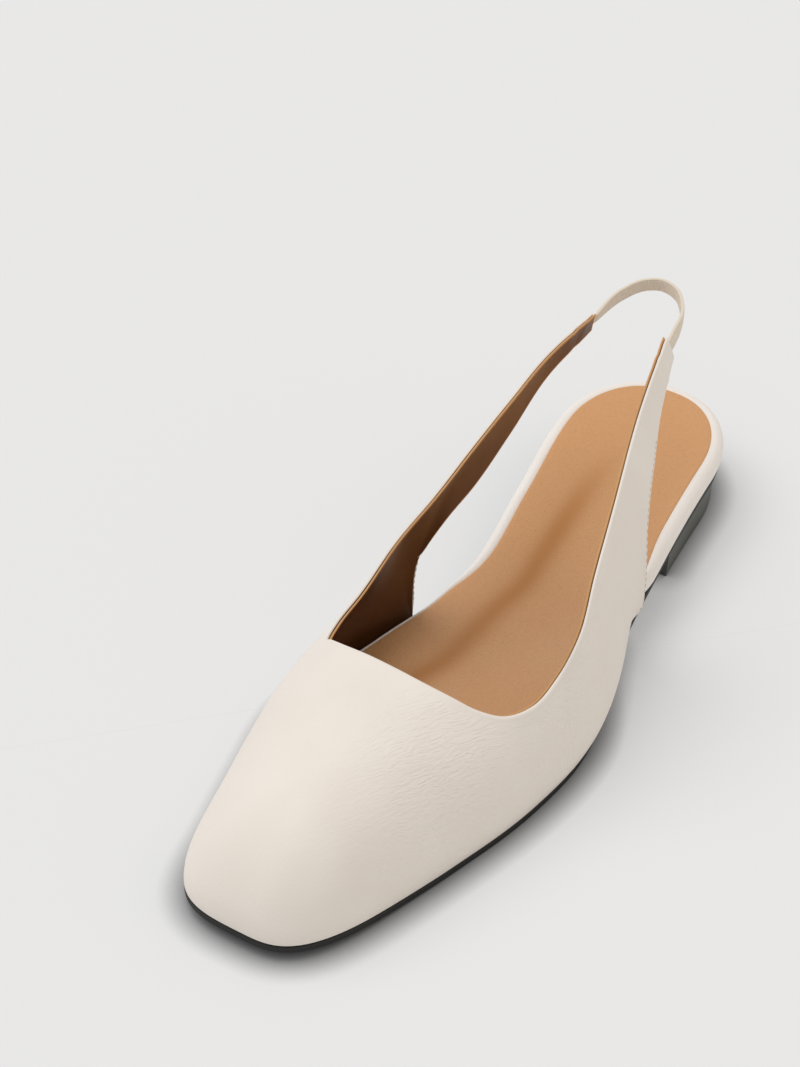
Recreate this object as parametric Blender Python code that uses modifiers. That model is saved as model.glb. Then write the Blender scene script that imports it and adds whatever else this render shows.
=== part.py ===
# Left sling-back flat with a square toe, built from the pieces that a shoemaker puts together.
# Metres, +Z up. The toe points along -Y, the outer side of the foot is +X, and the shoe stands on z = 0.
# Inside the functions a place is (across, station, height) in millimetres: across is + on the outer
# side, and the station runs from 0 at the back of the heel to sole_length at the tip of the toe.

import bmesh
import bpy
import numpy as np

MM = 0.001

# Driving sizes, in millimetres
sole_length = 252.0
outsole_thickness = 2.5
outsole_bevel = 0.6
heel_height = 14.3
heel_breast = 60.0
heel_inset = 1.2
heel_taper = 0.4
heel_bevel = 0.5
wall = 1.6
seam_gap = 0.3
footbed_overhang = 0.7
footbed_clearance = 0.2
rim_height = 6.4
rim_width = 5.2
rim_front_width = 2.6
rim_front_drop = 1.4
rim_lip = 1.3
dish_depth = 1.1
dish_full_width = 20.0
sock_thickness = 1.0
elastic_width = 4.4
elastic_thickness = 1.2
toe_round = 37.0
toe_power = 3.4
heel_round = 32.0
heel_power = 2.25
dome_power = 2.5
tuck_height = 7.0
throat_station = 176.0
throat_middle = 6.0
middle_across, middle_station = 4.0, 125.65
outer, inner = 1, -1

# Half widths of the sole on both sides of its long axis, before heel and toe are rounded
plan = np.array(
    [
        (0, 25.0, 25.5),
        (35, 27.5, 25.5),
        (70, 31.0, 20.5),
        (105, 35.5, 17.5),
        (140, 44.5, 29.0),
        (170, 42.5, 38.0),
        (200, 35.0, 33.5),
        (225, 27.5, 28.5),
        (252, 20.0, 27.0),
    ],
    dtype=[("station", float), ("outer", float), ("inner", float)],
)

# Underside of the outsole: heel seat, shank, flat tread and toe spring
profile = np.array(
    [
        (0, heel_height),
        (50, 0.92 * heel_height),
        (85, 0.68 * heel_height),
        (120, 0.28 * heel_height),
        (150, 0.0),
        (185, 0.0),
        (215, 0.9),
        (252, 3.7),
    ],
    dtype=[("station", float), ("height", float)],
)

# The footbed's rounded rim, from under its edge up and over: outward shift and rise
rim = np.array(
    [
        (-1.6, 0.0),
        (-0.3, 0.9),
        (0.0, 2.6),
        (-0.35, 4.4),
        (-1.3, 5.7),
        (-2.6, 6.4),
        (-3.9, 6.2),
    ],
    dtype=[("shift", float), ("rise", float)],
)

# Height of the vamp's crown above the feather edge, and how far its sides swell past that edge
crown = np.array(
    [
        (94, 62.0, 1.8, 0.6),
        (106, 62.0, 3.2, 0.6),
        (126, 62.0, 3.2, 0.6),
        (138, 60.0, 2.4, 1.2),
        (150, 50.0, 1.6, 1.6),
        (165, 41.5, 1.2, 1.4),
        (177, 38.3, 1.0, 1.2),
        (200, 35.5, 0.8, 1.0),
        (225, 29.0, 0.5, 0.7),
        (240, 23.5, 0.3, 0.3),
        (252, 18.0, 0.1, 0.1),
    ],
    dtype=[("station", float), ("height", float), ("outer_swell", float), ("inner_swell", float)],
)

edge_columns = [("across", float), ("station", float), ("height", float)]

# Top line of the upper from each strap's end to the corner of the throat
outer_top = np.array(
    [
        (8.0, 31.0, 66.0),
        (17.5, 67.0, 63.2),
        (30.0, 106.0, 60.0),
        (36.0, 126.5, 54.5),
        (39.7, 142.0, 44.5),
        (38.6, 151.5, 36.6),
        (37.0, 161.5, 33.8),
        (32.4, 169.2, 33.9),
    ],
    dtype=edge_columns,
)
inner_top = np.array(
    [
        (-18.0, 31.0, 65.0),
        (-21.3, 52.0, 62.0),
        (-20.4, 78.0, 61.0),
        (-19.6, 103.0, 59.0),
        (-21.5, 119.5, 52.5),
        (-26.0, 132.5, 43.0),
        (-27.3, 150.0, 35.3),
        (-28.0, 160.5, 32.3),
        (-26.4, 168.0, 32.4),
    ],
    dtype=edge_columns,
)

# Lower edge of each strap, and the free rear edge of the side wall down to the sole
outer_low = np.array(
    [
        (11.0, 31.0, 59.5),
        (17.3, 51.0, 52.6),
        (24.0, 67.0, 49.6),
        (29.0, 79.0, 45.8),
        (33.0, 87.5, 40.0),
        (35.2, 91.0, 33.0),
        (36.0, 92.2, 22.0),
        (35.9, 93.0, 16.0),
    ],
    dtype=edge_columns,
)
inner_low = np.array(
    [
        (-19.0, 31.0, 58.6),
        (-22.3, 52.0, 53.0),
        (-20.8, 78.0, 48.0),
        (-20.0, 100.0, 43.6),
        (-21.2, 115.0, 39.6),
        (-23.0, 122.5, 32.5),
        (-23.8, 125.0, 22.0),
        (-23.7, 125.4, 12.0),
    ],
    dtype=edge_columns,
)

# The straight-cut throat in plan, between the rounded corners where the two top lines end
throat = np.array(
    [
        (26.0, 173.3),
        (19.0, 175.2),
        (11.0, 176.0),
        (2.0, 175.7),
        (-8.0, 174.9),
        (-17.0, 173.4),
        (-22.5, 171.4),
    ],
    dtype=[("across", float), ("station", float)],
)

# Middle line of the elastic round the heel, from the inner strap to the outer one
elastic_line = np.array(
    [
        (-18.7, 30.7, 61.6),
        (-17.3, 24.0, 63.6),
        (-14.4, 17.6, 65.6),
        (-10.3, 12.3, 67.1),
        (-5.0, 9.8, 67.6),
        (0.8, 11.2, 67.3),
        (5.6, 16.2, 66.2),
        (8.4, 23.0, 64.5),
        (9.5, 30.7, 62.8),
    ],
    dtype=edge_columns,
)

# The upper is a strip that runs from strap end to strap end round the toe. Each row ties a place on
# its lower edge to one on its top edge: steps to the next row, the angle that the section turns
# through between them, and how much of the section is a plain arc and not the vamp's dome.
# A lower place is a share of the low edge up to 1, and then a station on the feather edge.
# The top places are stations, which differ where the inner wall's free edge stands further forward.
strip_rows = np.array(
    [
        (0.00, 31.0, 31.0, 12, 8.0, 1.0),
        (0.62, 100.0, 100.0, 7, 14.0, 1.0),
        (1.00, 120.0, 129.0, 12, 20.0, 1.0),
        (160.0, 160.0, 160.0, 9, 44.0, 0.75),
        (232.0, 175.0, 175.0, 10, 70.0, 0.0),
        (252.0, throat_station, throat_station, 0, 70.0, 0.0),
    ],
    dtype=[
        ("low", float),
        ("outer_top", float),
        ("inner_top", float),
        ("steps", int),
        ("turn", float),
        ("arc", float),
    ],
)
section_steps = 12


def smooth(rows, columns, at, key="station"):
    """A curve through a table's rows, with the slope at each row taken from its two neighbours."""
    x = rows[key].astype(float)
    at = np.clip(at, x[0], x[-1])
    index = np.clip(np.searchsorted(x, at, side="right") - 1, 0, len(x) - 2)
    step = np.diff(x)
    share = (at - x[index]) / step[index]
    results = []
    for column in columns:
        y = rows[column].astype(float)
        rise = np.diff(y) / step
        slope = np.empty_like(y)
        slope[0], slope[-1] = rise[0], rise[-1]
        slope[1:-1] = (rise[:-1] * step[1:] + rise[1:] * step[:-1]) / (step[:-1] + step[1:])
        low, high = y[index], y[index + 1]
        start, end = slope[index] * step[index], slope[index + 1] * step[index]
        cubic = 2 * (low - high) + start + end
        square = 3 * (high - low) - 2 * start - end
        results.append(((cubic * share + square) * share + start) * share + low)
    return results[0] if len(columns) == 1 else results


def underside(station):
    """Height of the sole's underside: the curve of the profile, flat on the floor under the tread."""
    return np.maximum(smooth(profile, ["height"], station), 0.0)


def feather_height(station):
    """Height of the outsole's upper face, plus the gap under what stands on it."""
    return underside(station) + outsole_thickness + seam_gap


def half_widths(station):
    return smooth(plan, ["outer", "inner"], station)


def rounding(station):
    """Share of the half width that the round heel and the square toe leave at a station."""
    heel = np.clip((heel_round - station) / heel_round, 0, 1)
    toe = np.clip((station - sole_length + toe_round) / toe_round, 0, 1)
    return (1 - heel**heel_power) ** (1 / heel_power) * (1 - toe**toe_power) ** (1 / toe_power)


def outline(station, side):
    outer_half, inner_half = half_widths(station)
    return side * (outer_half if side == outer else inner_half) * rounding(station)


def outline_stations(count, last=sole_length):
    """Stations that crowd together towards the round ends of the sole."""
    turn = np.linspace(0, np.pi if last == sole_length else np.pi / 2, count)
    spread = (1 - np.cos(turn)) / (2 if last == sole_length else 1)
    return last * spread


def outward(points):
    """Unit normals in plan of a line of (across, station) points, pointing to its right-hand side."""
    along = np.gradient(points, axis=0)
    along /= np.linalg.norm(along, axis=1)[:, None]
    return np.stack([along[:, 1], -along[:, 0]], axis=1)


def edge_of_sole(stations, side, shift):
    """Points of the outline on one side, moved outwards by shift, from the heel to the toe."""
    points = np.stack([outline(stations, side), stations], axis=1)
    normals = side * outward(points)
    if stations[0] == 0:
        normals[0] = (0, -1)
    if stations[-1] == sole_length:
        normals[-1] = (0, 1)
    moved = points + normals * np.broadcast_to(shift, stations.shape)[:, None]
    if stations[0] == 0:
        moved[0, 0] = 0
    return moved


def placed(across, station, height):
    """World places in metres of points given in the shoe's own millimetres, with the middle at 0."""
    return np.stack([across - middle_across, middle_station - station, height], axis=-1) * MM


def new_object(name, mesh, colour, roughness):
    material = bpy.data.materials.new(name)
    material.use_nodes = True
    shader = material.node_tree.nodes["Principled BSDF"]
    shader.inputs["Base Color"].default_value = (*colour, 1.0)
    shader.inputs["Roughness"].default_value = roughness
    mesh.materials.append(material)
    made = bpy.data.objects.new(name, mesh)
    shoe.objects.link(made)
    return made


def finished(name, bm, colour, roughness):
    bmesh.ops.remove_doubles(bm, verts=bm.verts, dist=1e-6)
    bmesh.ops.recalc_face_normals(bm, faces=bm.faces)
    mesh = bpy.data.meshes.new(name)
    bm.to_mesh(mesh)
    bm.free()
    mesh.shade_smooth()
    mesh.set_sharp_from_angle(angle=np.radians(40))
    return new_object(name, mesh, colour, roughness)


def grid_faces(bm, grid):
    """Quads between the neighbours of a grid of vertices, and triangles where its points meet."""
    for row, following in zip(grid[:-1], grid[1:]):
        for a, b, c, d in zip(row[:-1], row[1:], following[1:], following[:-1]):
            corners = list(dict.fromkeys((a, b, c, d)))
            if len(corners) > 2:
                bm.faces.new(corners)


def layered(name, layers, bottom, top, across_steps, colour, roughness):
    """A flat closed piece from edge layers, lowest first, each a pair of lines from heel to toe.

    Its lowest and highest layers are filled across from side to side, with the height that the
    functions bottom and top give at each (across, station, share of the way across)."""
    bm = bmesh.new()
    rings = []
    for sides in layers:
        lines = []
        for across, station, height in sides:
            lines.append([bm.verts.new(place) for place in placed(across, station, height)])
        if np.hypot(sides[0][0][0] - sides[1][0][0], sides[0][1][0] - sides[1][1][0]) < 1e-3:
            lines[1][0] = lines[0][0]
        if np.hypot(sides[0][0][-1] - sides[1][0][-1], sides[0][1][-1] - sides[1][1][-1]) < 1e-3:
            lines[1][-1] = lines[0][-1]
        rings.append(lines)
    for low, high in zip(rings[:-1], rings[1:]):
        grid_faces(bm, [low[0], high[0]])
        grid_faces(bm, [low[1], high[1]])
    ends = []
    for lines, sides, height_at in ((rings[0], layers[0], bottom), (rings[-1], layers[-1], top)):
        share = np.linspace(0, 1, across_steps + 1)[1:-1]
        across = sides[0][0][:, None] * (1 - share) + sides[1][0][:, None] * share
        station = sides[0][1][:, None] * (1 - share) + sides[1][1][:, None] * share
        height = height_at(across, station, 2 * share - 1 + 0 * across)
        middle = placed(across, station, height)
        grid = []
        for index, (left, right) in enumerate(zip(*lines)):
            if left is right:
                grid.append([left] * (across_steps + 1))
            else:
                grid.append([left, *(bm.verts.new(place) for place in middle[index]), right])
        grid_faces(bm, grid)
        ends.append(grid[-1])
    if rings[0][0][-1] is not rings[0][1][-1]:
        sides_up = [lines[1][-1] for lines in rings[1:-1]]
        sides_down = [lines[0][-1] for lines in rings[-2:0:-1]]
        bm.faces.new([*ends[0], *sides_up, *reversed(ends[1]), *sides_down])
    loose = [vert for vert in bm.verts if not vert.link_faces]
    bmesh.ops.delete(bm, geom=loose, context="VERTS")
    return finished(name, bm, colour, roughness)


def sole_layer(stations, shift, height):
    """One edge layer that follows the sole's outline, shifted outwards, at a height for each station."""
    layer = []
    for side in (outer, inner):
        points = edge_of_sole(stations, side, shift(stations, side) if callable(shift) else shift)
        level = height(stations, side) if callable(height) else np.full(len(stations), height)
        layer.append((points[:, 0], points[:, 1], level))
    return layer


def add_outsole():
    stations = outline_stations(41)
    layers = [
        sole_layer(stations, -outsole_bevel, lambda s, side: underside(s)),
        sole_layer(stations, 0.0, lambda s, side: underside(s) + outsole_bevel),
        sole_layer(stations, 0.0, lambda s, side: underside(s) + outsole_thickness),
    ]
    bottom = lambda across, station, share: underside(station)
    top = lambda across, station, share: underside(station) + outsole_thickness
    return layered("outsole", layers, bottom, top, 4, (0.012, 0.011, 0.010), 0.55)


def add_heel():
    stations = outline_stations(15, heel_breast)
    top_height = lambda s, side: underside(s) - seam_gap
    layers = [
        sole_layer(stations, -heel_inset - heel_taper - heel_bevel, 0.0),
        sole_layer(stations, -heel_inset - heel_taper, heel_bevel),
        sole_layer(stations, -heel_inset, top_height),
    ]
    for layer in layers:
        for across, station, height in layer:
            station[-1] = heel_breast
    bottom = lambda across, station, share: 0 * across
    top = lambda across, station, share: underside(station) - seam_gap
    return layered("heel", layers, bottom, top, 4, (0.06, 0.058, 0.055), 0.6)


def under_wall(station, side, start=-8.0, length=7.0):
    """0 where the footbed's rim shows beside the foot, 1 where the wall of the upper stands over it."""
    share = np.clip((station - wall_foot(side)[0, 1] - start) / length, 0, 1)
    return share * share * (3 - 2 * share)


def footbed_edge(station, side):
    """How far the footbed's widest line lies outside the edge of the outsole: inside the wall, less than 0."""
    inside = wall + 2 * seam_gap + footbed_clearance
    return footbed_overhang - (footbed_overhang + inside) * under_wall(station, side)


def footbed_face(station, share):
    """The footbed's upper face inside its rim, hollow from side to side and flat at its narrow ends."""
    drop = rim_drop(station, outer) * (1 - share) / 2 + rim_drop(station, inner) * (1 + share) / 2
    dish = dish_depth * (1 - share**2) * np.clip(outline(station, outer) / dish_full_width, 0, 1)
    return feather_height(station) + rim_height - rim_lip - drop - dish


def rim_drop(station, side):
    """The rim is lower inside the walls, where only its inner edge shows."""
    return rim_front_drop * under_wall(station, side, length=32.0)


def sock_edge(station, side):
    """Inset of the sock from the footbed's widest line: a wide rim at the heel, a narrow one in front."""
    width = rim_width + (rim_front_width - rim_width) * under_wall(station, side)
    return footbed_edge(station, side) - width


def add_footbed():
    stations = outline_stations(49)
    layers = []
    for row in rim:
        squeeze = lambda s, side: 1 - 0.45 * under_wall(s, side)
        shift = lambda s, side, row=row: footbed_edge(s, side) + row["shift"] * squeeze(s, side)
        level = lambda s, side, row=row: feather_height(s) + row["rise"] * (
            1 - rim_drop(s, side) / rim_height
        )
        layers.append(sole_layer(stations, shift, level))
    seat = lambda s, side: footbed_face(s, -side)
    layers.append(sole_layer(stations, sock_edge, seat))
    bottom = lambda across, station, share: feather_height(station)
    face = lambda across, station, share: footbed_face(station, share)
    return layered("footbed", layers, bottom, face, 8, (0.80, 0.74, 0.66), 0.45)


def add_sock():
    stations = outline_stations(49)
    layers = []
    for inset, rise in ((0.0, 0.0), (0.0, 0.6 * sock_thickness), (0.5, sock_thickness)):
        edge = lambda s, side, inset=inset: sock_edge(s, side) - seam_gap - inset
        level = lambda s, side, rise=rise: footbed_face(s, -side) + seam_gap + rise
        layers.append(sole_layer(stations, edge, level))
    bottom = lambda across, station, share: footbed_face(station, share) + seam_gap
    top = lambda across, station, share: bottom(across, station, share) + sock_thickness
    return layered("sock", layers, bottom, top, 8, (0.52, 0.29, 0.14), 0.5)


def dome_reach(across, station):
    """How far a point of the vamp lies from its ridge: 1 on the swollen outline, as a superellipse."""
    outer_half, inner_half = half_widths(station)
    outer_swell, inner_swell = smooth(crown, ["outer_swell", "inner_swell"], station)
    outer_half, inner_half = outer_half + outer_swell, inner_half + inner_swell
    middle = (outer_half - inner_half) / 2
    half = (outer_half + inner_half) / 2
    toe = np.clip((station - sole_length + toe_round) / (toe_round + outer_swell), 0, None)
    return (np.abs((across - middle) / half) ** toe_power + toe**toe_power) ** (1 / toe_power)


def dome_rise(station, reach):
    """Height of the vamp above the feather edge, rounded down to nothing at the outline."""
    return smooth(crown, ["height"], station) * np.sqrt(np.clip(1 - reach**dome_power, 0, 1))


def along(points, count):
    """Points spaced evenly along a smooth line through the given ones."""
    reach = np.concatenate([[0], np.cumsum(np.linalg.norm(np.diff(points, axis=0), axis=1))])
    rows = np.empty(len(points), dtype=[("reach", float), *edge_columns])
    rows["reach"] = reach
    for column, values in zip(("across", "station", "height"), points.T):
        rows[column] = values
    line = smooth(rows, ["across", "station", "height"], np.linspace(0, reach[-1], count), "reach")
    return np.stack(line, axis=1)


def as_points(rows):
    return np.stack([rows["across"], rows["station"], rows["height"]], axis=1)


def throat_line():
    """The throat's points, lifted onto the face of the dome."""
    across, station = throat["across"], throat["station"]
    rise = dome_rise(station, dome_reach(across, station))
    return np.stack([across, station, feather_height(station) + rise], axis=1)


def top_edge():
    points = np.concatenate([as_points(outer_top), throat_line(), as_points(inner_top)[::-1]])
    return along(points, 1601)


def wall_foot(side):
    """Where the free rear edge of the wall comes down to the feather edge."""
    station = (outer_low if side == outer else inner_low)["station"][-1] + 1.0
    return np.array([[outline(station, side), station, feather_height(station)]])


def low_edge(side):
    rows = outer_low if side == outer else inner_low
    return along(np.concatenate([as_points(rows), wall_foot(side)]), 401)


def strip_edges():
    """Matching points of the strip's lower and top edges, and the turn and arc share of each section."""
    top = top_edge()
    middle = int(np.argmin(np.hypot(top[:, 0] - throat_middle, top[:, 1] - throat_station)))
    halves = []
    for side in (outer, inner):
        line = top[: middle + 1] if side == outer else top[: middle - 1 : -1]
        reach = np.concatenate([[0], np.cumsum(np.linalg.norm(np.diff(line, axis=0), axis=1))])
        low = low_edge(side)
        foot = low[-1, 1]
        top_column = "outer_top" if side == outer else "inner_top"
        lows, tops, turns, arcs = [], [], [], []
        for row, after in zip(strip_rows[:-1], strip_rows[1:]):
            share = np.arange(row["steps"]) / row["steps"]
            eased = share
            if after["low"] <= 1:
                place = (row["low"] + (after["low"] - row["low"]) * share) * (len(low) - 1)
                lows.append(low[np.round(place).astype(int)])
            else:
                start = foot if row["low"] <= 1 else row["low"]
                if after["low"] == sole_length:
                    eased = np.sin(share * np.pi / 2)
                station = start + (after["low"] - start) * eased
                across = outline(station, side)
                lows.append(np.stack([across, station, feather_height(station)], axis=1))
            starts = [reach[np.argmin(np.abs(line[:, 1] - end[top_column]))] for end in (row, after)]
            if after[top_column] == throat_station:
                starts[1] = reach[-1]
            place = starts[0] + (starts[1] - starts[0]) * share
            tops.append(np.stack([np.interp(place, reach, line[:, axis]) for axis in range(3)], axis=1))
            turns.append(row["turn"] + (after["turn"] - row["turn"]) * share)
            arcs.append(row["arc"] + (after["arc"] - row["arc"]) * share)
        halves.append([np.concatenate(values) for values in (lows, tops, turns, arcs)])
    tip = np.array([[0.0, sole_length, feather_height(sole_length)]])
    joined = []
    for first, centre, second in zip(
        halves[0],
        (tip, top[middle : middle + 1], strip_rows["turn"][-1:], strip_rows["arc"][-1:]),
        halves[1],
    ):
        joined.append(np.concatenate([first, centre, second[::-1]]))
    return joined


def upper_surface():
    """Grid of points of the upper's outer face: strip position by height share."""
    low, top, turn, arc = strip_edges()
    share = np.linspace(0, 1, section_steps + 1)[None, :]
    turn = np.radians(turn)[:, None]
    arc = arc[:, None]
    on_feather = np.abs(low[:, 2] - feather_height(low[:, 1])) < 0.01
    first, last = np.flatnonzero(on_feather)[[0, -1]]
    normals = np.zeros((len(low), 2))
    normals[first : last + 1] = outward(low[first : last + 1, :2])
    side_swell = np.where(low[:, 0] > 0, *smooth(crown, ["outer_swell", "inner_swell"], low[:, 1]))
    swell = np.where(on_feather, side_swell, 0.0)
    base = low[:, :2] + normals * swell[:, None]

    chord = np.linalg.norm(top - np.column_stack([base, low[:, 2]]), axis=1)[:, None]
    bulge = chord / 2 * np.tan(turn / 4) * 4 * share * (1 - share)
    facing = outward((base + top[:, :2]) / 2)
    arc_plan = base[:, None] + (top[:, None, :2] - base[:, None]) * share[..., None]
    arc_plan = arc_plan + facing[:, None] * bulge[..., None]
    arc_height = low[:, None, 2] + (top[:, None, 2] - low[:, None, 2]) * share

    eased = 1 - np.cos(share * np.pi / 2)
    dome_plan = base[:, None] + (top[:, None, :2] - base[:, None]) * eased[..., None]
    level = feather_height(dome_plan[..., 1])
    reach = dome_reach(dome_plan[..., 0], dome_plan[..., 1])
    reach = reach / (1 + (reach[:, :1] - 1) * (1 - eased))
    rise = dome_rise(dome_plan[..., 1], reach)
    top_rise = top[:, 2] - feather_height(top[:, 1])
    fit = top_rise / np.maximum(rise[:, -1], 1.0)
    dome_level = level + rise * fit[:, None]

    spot = arc_plan * arc[..., None] + dome_plan * (1 - arc[..., None])
    height = arc_height * arc + dome_level * (1 - arc)
    above = (height - low[:, None, 2]) / tuck_height
    tuck = swell[:, None] * np.clip(1 - above, 0, 1) ** 2
    spot = spot - normals[:, None] * tuck[..., None]
    return spot[..., 0], spot[..., 1], height


def add_upper():
    across, station, height = upper_surface()
    bm = bmesh.new()
    grid = [[bm.verts.new(place) for place in line] for line in placed(across, station, height)]
    grid_faces(bm, grid)
    mesh = bpy.data.meshes.new("upper")
    bm.to_mesh(mesh)
    bm.free()
    mesh.shade_smooth()
    made = new_object("upper", mesh, (0.80, 0.74, 0.66), 0.42)
    shell = made.modifiers.new("wall", "SOLIDIFY")
    shell.thickness = wall * MM
    shell.offset = -1.0
    return made


def add_elastic():
    """A flat ribbon carried along its middle line, standing on edge."""
    line = along(as_points(elastic_line), 41)
    line[0, 1] -= seam_gap
    line[-1, 1] -= seam_gap
    normals = outward(line[:, :2])
    half_width, half_thick = elastic_width / 2, elastic_thickness / 2
    section = [(-1, -0.8), (-1, 0.8), (-0.5, 1), (0.5, 1), (1, 0.8), (1, -0.8), (0.5, -1), (-0.5, -1)]
    bm = bmesh.new()
    rings = []
    for point, normal in zip(line, normals):
        ring = []
        for sideways, upwards in section:
            across, station = point[:2] + normal * sideways * half_thick
            ring.append(bm.verts.new(placed(across, station, point[2] + upwards * half_width)))
        rings.append(ring)
    grid_faces(bm, [[*ring, ring[0]] for ring in rings])
    bm.faces.new(rings[0])
    bm.faces.new(rings[-1])
    return finished("sling_elastic", bm, (0.72, 0.66, 0.58), 0.8)


for old in list(bpy.data.objects):
    bpy.data.objects.remove(old)
shoe = bpy.data.collections.new("sling_back_flat")
bpy.context.scene.collection.children.link(shoe)
add_outsole()
add_heel()
add_footbed()
add_sock()
add_upper()
add_elastic()
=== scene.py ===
import bmesh
import bpy
import numpy as np
from mathutils import Matrix


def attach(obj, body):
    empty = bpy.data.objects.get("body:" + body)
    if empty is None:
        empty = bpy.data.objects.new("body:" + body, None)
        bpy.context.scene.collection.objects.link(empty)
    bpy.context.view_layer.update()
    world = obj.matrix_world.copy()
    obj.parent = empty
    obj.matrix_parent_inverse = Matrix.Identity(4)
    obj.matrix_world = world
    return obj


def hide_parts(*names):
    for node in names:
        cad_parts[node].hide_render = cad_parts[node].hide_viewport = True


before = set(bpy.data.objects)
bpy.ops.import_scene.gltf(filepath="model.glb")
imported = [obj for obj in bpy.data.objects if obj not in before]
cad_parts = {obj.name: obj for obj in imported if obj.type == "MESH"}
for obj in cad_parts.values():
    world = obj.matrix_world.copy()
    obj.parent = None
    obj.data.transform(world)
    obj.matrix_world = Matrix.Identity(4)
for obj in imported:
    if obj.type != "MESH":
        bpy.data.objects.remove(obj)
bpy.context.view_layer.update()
scene = bpy.context.scene
outer, inner = 1, -1
toMetres = 0.001
perMetre = 1000.0

# Sizes of the last that every piece shares, in millimetres
last = {
    "length": 252.0,
    "outsole": 2.5,                                   # thickness
    "seamGap": 0.3,                                   # between pieces that lie on each other
    "heelRound": 32.0, "heelPower": 2.25,             # superellipses that round the heel and the toe
    "toeRound": 37.0, "toePower": 3.4,
    "domePower": 2.5,                                 # superellipse from the vamp's ridge to its foot
    "tuckHeight": 7.0,                                # the upper draws in to the sole over this height
    "middleAcross": 4.0, "middleStation": 125.65,
    "steps": 181,                                     # places along one side of a closed outline
    "fanRadius": 22.0,                                # how far from its ends a filled face fans out
    # station, half width outside, half width inside
    "plan": [(0, 25.0, 25.5), (35, 27.5, 25.5), (70, 31.0, 20.5), (105, 35.5, 17.5), (140, 44.5, 29.0),
             (170, 42.5, 38.0), (200, 35.0, 33.5), (225, 27.5, 28.5), (252, 20.0, 27.0)],
    # station, height of the underside
    "profile": [(0, 14.3), (50, 13.156), (85, 9.724), (120, 4.004),
                (150, 0.0), (185, 0.0), (215, 0.9), (252, 3.7)],
    # station, height of the vamp over the feather edge, swell outside, swell inside
    "crown": [(94, 62.0, 1.8, 0.6), (106, 62.0, 3.2, 0.6), (126, 62.0, 3.2, 0.6), (138, 60.0, 2.4, 1.2),
              (150, 50.0, 1.6, 1.6), (165, 41.5, 1.2, 1.4), (177, 38.3, 1.0, 1.2), (200, 35.5, 0.8, 1.0),
              (225, 29.0, 0.5, 0.7), (240, 23.5, 0.3, 0.3), (252, 18.0, 0.1, 0.1)],
}


# curves and outlines


def curveThrough(rows, at):
    # a cubic between each pair of rows; the slope at a row is the mean of the chords on both sides,
    # each weighted by the length of the other
    rows = np.asarray(rows, float)
    x, y = rows[:, 0], rows[:, 1:]
    at = np.clip(at, x[0], x[-1])
    index = np.clip(np.searchsorted(x, at, side="right") - 1, 0, len(x) - 2)
    step = np.diff(x)[:, None]
    rise = np.diff(y, axis=0) / step
    middle = (rise[:-1] * step[1:] + rise[1:] * step[:-1]) / (step[:-1] + step[1:])
    slope = np.concatenate([rise[:1], middle, rise[-1:]])
    share = ((at - x[index]) / step[index, 0])[..., None]
    low, high = y[index], y[index + 1]
    start, end = slope[index] * step[index], slope[index + 1] * step[index]
    cubic = 2 * (low - high) + start + end
    square = 3 * (high - low) - 2 * start - end
    return ((cubic * share + square) * share + start) * share + low


def lengthAlong(points, axis=0):
    # running sum of the distances between neighbours on a line, or along one axis of a grid
    steps = np.linalg.norm(np.diff(points, axis=axis), axis=-1)
    start = 0 * np.take(steps, [0], axis=axis)
    return np.concatenate([start, np.cumsum(steps, axis=axis)], axis=axis)


def placesAt(distances, reach, points):
    # places at these distances along a line whose running length is reach
    return np.stack([np.interp(distances, reach, points[:, axis]) for axis in range(3)], axis=1)


def unit(vectors):
    # each vector divided by its length
    return vectors / np.linalg.norm(vectors, axis=-1)[..., None]


def lineThrough(points, count):
    # the smooth curve through the points, at evenly spaced lengths
    points = np.asarray(points, float)
    reach = lengthAlong(points)
    return curveThrough(np.column_stack([reach, points]), np.linspace(0, reach[-1], count))


def easeBetween(value, low, high):
    # 3t^2 - 2t^3 with t running from 0 at low to 1 at high
    share = np.clip((value - low) / (high - low), 0, 1)
    return share * share * (3 - 2 * share)


def undersideAt(station):
    # the profile's curve, and flat on the floor where that dips
    return np.maximum(curveThrough(last["profile"], station)[..., 0], 0.0)


def featherAt(station):
    # upper face of the outsole and the gap over it
    return undersideAt(station) + last["outsole"] + last["seamGap"]


def halfWidths(station):
    # the plan's curves, outside and inside
    widths = curveThrough(last["plan"], station)
    return widths[..., 0], widths[..., 1]


def outlineAt(station, side):
    # half width times the superellipse that rounds the heel and squares off the toe
    heel = np.clip((last["heelRound"] - station) / last["heelRound"], 0, 1)
    toe = np.clip((station - last["length"] + last["toeRound"]) / last["toeRound"], 0, 1)
    atHeel = (1 - heel ** last["heelPower"]) ** (1 / last["heelPower"])
    atToe = (1 - toe ** last["toePower"]) ** (1 / last["toePower"])
    return side * halfWidths(station)[0 if side == outer else 1] * (atHeel * atToe)


def outwardOf(points):
    # unit normals in plan, to the right of the way the line runs
    along = unit(np.gradient(points, axis=0))
    return np.stack([along[:, 1], -along[:, 0]], axis=1)


def stationsTo(end, count):
    # a half turn of cosine, so that they crowd at both round ends; a quarter turn where one end is cut
    whole = end == last["length"]
    turn = np.linspace(0, np.pi if whole else np.pi / 2, count)
    return end * (1 - np.cos(turn)) / (2 if whole else 1)


def soleEdge(stations, side, shift):
    # the outline on one side, moved outwards by shift along its normal
    points = np.stack([outlineAt(stations, side), stations], axis=1)
    normals = side * outwardOf(points)
    normals[0] = (0, -1)
    if stations[-1] == last["length"]:
        normals[-1] = (0, 1)
    moved = points + normals * np.broadcast_to(shift, stations.shape)[:, None]
    moved[0, 0] = 0
    return moved


def placed(points):
    # from the shoe's own millimetres to metres round the middle of the sole
    across, station, height = np.moveaxis(np.asarray(points, float), -1, 0)
    moved = [across - last["middleAcross"], last["middleStation"] - station, height]
    return np.stack(moved, axis=-1) * toMetres


# meshes


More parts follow.
